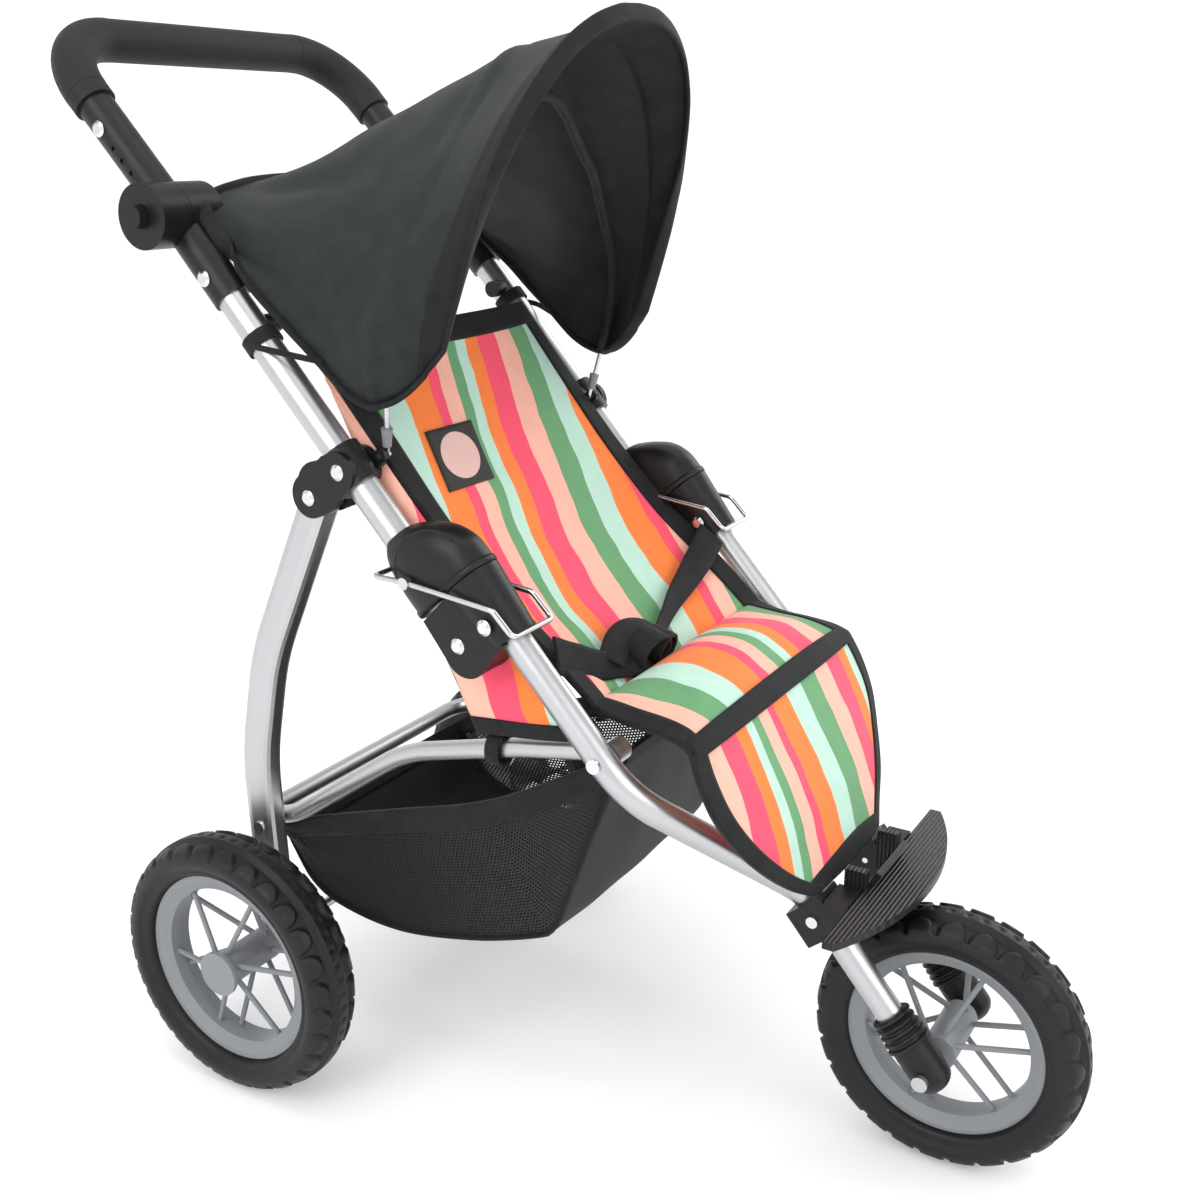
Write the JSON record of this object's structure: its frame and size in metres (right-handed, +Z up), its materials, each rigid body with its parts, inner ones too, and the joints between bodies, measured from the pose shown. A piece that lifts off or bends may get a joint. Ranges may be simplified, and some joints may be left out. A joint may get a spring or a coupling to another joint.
{
  "type": "doll stroller",
  "caption": "Doll jogging stroller with a folding tube frame, striped sling seat, black canopy and basket.",
  "frame": {"origin": "on the floor, under the middle of the whole object's box", "axes": "+Z up, the front wheel towards -Y, +X to the left side of the stroller"},
  "size_m": [0.316, 0.5535, 0.5692],
  "materials": {
    "steel_tube": "satin",
    "black_plastic": "matte",
    "foam": "matte",
    "tyre": "matte",
    "rim": "satin",
    "wire": "bright",
    "rivet": "bright",
    "boot": "matte",
    "stripe_fabric": "woven",
    "black_fabric": "woven",
    "canopy_fabric": "woven",
    "label": "woven"
  },
  "bodies": {
    "front_frame": {"lower_tube_right": "steel_tube", "lower_tube_left": "steel_tube", "latch_shell_right": "black_plastic", "latch_shell_left": "black_plastic", "latch_rivets": "rivet", "fold_pins": "rivet", "fork_boot_right": "boot", "fork_boot_left": "boot", "front_axle": "steel_tube", "footrest": "black_plastic", "footrest_brackets": "black_plastic", "footrest_screws": "rivet", "seat_base": "stripe_fabric", "leg_flap": "stripe_fabric", "lap_belt": "black_fabric", "belt_buckle": "black_plastic"},
    "front_wheel": {"front_tyre": "tyre", "front_rim": "rim"},
    "upper_frame": {"upper_tube_right": "steel_tube", "upper_tube_left": "steel_tube", "latch_dome_right": "black_plastic", "latch_dome_left": "black_plastic", "leg_bracket_right": "black_plastic", "leg_bracket_left": "black_plastic", "lower_arm_right": "black_plastic", "lower_arm_left": "black_plastic", "arm_rivets": "rivet", "knuckle_pins": "black_plastic", "canopy_knobs": "black_plastic", "canopy_ties": "black_fabric", "seat_back": "stripe_fabric", "label_patch": "label"},
    "handle": {"upper_arm_right": "black_plastic", "upper_arm_left": "black_plastic", "handle_tube": "steel_tube", "foam_grip": "foam", "grip_rivets": "rivet"},
    "button_right": {"knuckle_button_right": "black_plastic"},
    "button_left": {"knuckle_button_left": "black_plastic"},
    "wire_right": {"latch_wire_right": "wire"},
    "wire_left": {"latch_wire_left": "wire"},
    "canopy_bow": {"bow_wire": "wire", "bow_sleeves": "rim", "canopy": "canopy_fabric"},
    "rear_legs": {"rear_leg_right": "steel_tube", "rear_leg_left": "steel_tube", "rear_axle": "steel_tube", "leg_rivets": "rivet"},
    "rear_wheel_right": {"rear_tyre_right": "tyre", "rear_rim_right": "rim", "rear_cap_right": "rim"},
    "rear_wheel_left": {"rear_tyre_left": "tyre", "rear_rim_left": "rim", "rear_cap_left": "rim"},
    "lower_bars": {"lower_bar": "steel_tube", "bar_pins": "rivet", "basket": "black_fabric"}
  },
  "joints": [
    {"name": "frame_fold", "type": "hinge", "parent": "front_frame", "child": "upper_frame", "pos_m": [0, 0.01079, 0.2798], "axis": [-1, 0, 0], "range_deg": [0, 140]},
    {"name": "bar_swing", "type": "hinge", "parent": "front_frame", "child": "lower_bars", "pos_m": [0, -0.06241, 0.2335], "axis": [-1, 0, 0], "range_deg": [0, 90], "deforming": ["basket"]},
    {"name": "leg_swing", "type": "hinge", "parent": "upper_frame", "child": "rear_legs", "pos_m": [0, 0.09896, 0.34084], "axis": [1, 0, 0], "range_deg": [0, 82]},
    {"name": "wire_lift_right", "type": "hinge", "parent": "upper_frame", "child": "wire_right", "pos_m": [-0.1087, 0.0358, 0.30896], "axis": [-1, 0, 0], "range_deg": [0, 65]},
    {"name": "wire_lift_left", "type": "hinge", "parent": "upper_frame", "child": "wire_left", "pos_m": [0.1087, 0.0358, 0.30896], "axis": [-1, 0, 0], "range_deg": [0, 65]},
    {"name": "handle_tilt", "type": "hinge", "parent": "upper_frame", "child": "handle", "pos_m": [0, 0.18433, 0.4726], "axis": [1, 0, 0], "range_deg": [-60, 45]},
    {"name": "button_press_right", "type": "slide", "parent": "handle", "child": "button_right", "axis": [1, 0, 0], "range_m": [0, 0.003], "stiffness_N_per_m": 300},
    {"name": "button_press_left", "type": "slide", "parent": "handle", "child": "button_left", "axis": [-1, 0, 0], "range_m": [0, 0.003], "stiffness_N_per_m": 300},
    {"name": "canopy_fold", "type": "hinge", "parent": "upper_frame", "child": "canopy_bow", "pos_m": [0, 0.06782, 0.3617], "axis": [-1, 0, 0], "range_deg": [0, 55], "deforming": ["canopy"]},
    {"name": "front_wheel_spin", "type": "hinge", "parent": "front_frame", "child": "front_wheel", "pos_m": [0, -0.20591, 0.0708], "axis": [1, 0, 0], "continuous": true},
    {"name": "rear_wheel_spin_right", "type": "hinge", "parent": "rear_legs", "child": "rear_wheel_right", "pos_m": [-0.141, 0.15229, 0.075], "axis": [1, 0, 0], "continuous": true},
    {"name": "rear_wheel_spin_left", "type": "hinge", "parent": "rear_legs", "child": "rear_wheel_left", "pos_m": [0.141, 0.15229, 0.075], "axis": [1, 0, 0], "continuous": true}
  ],
  "couplings": [
    {"joint": "bar_swing", "follows": "frame_fold", "ratio": 0.63},
    {"joint": "leg_swing", "follows": "frame_fold", "ratio": 0.58},
    {"joint": "wire_lift_right", "follows": "frame_fold", "ratio": 0.46},
    {"joint": "wire_lift_left", "follows": "frame_fold", "ratio": 0.46}
  ]
}
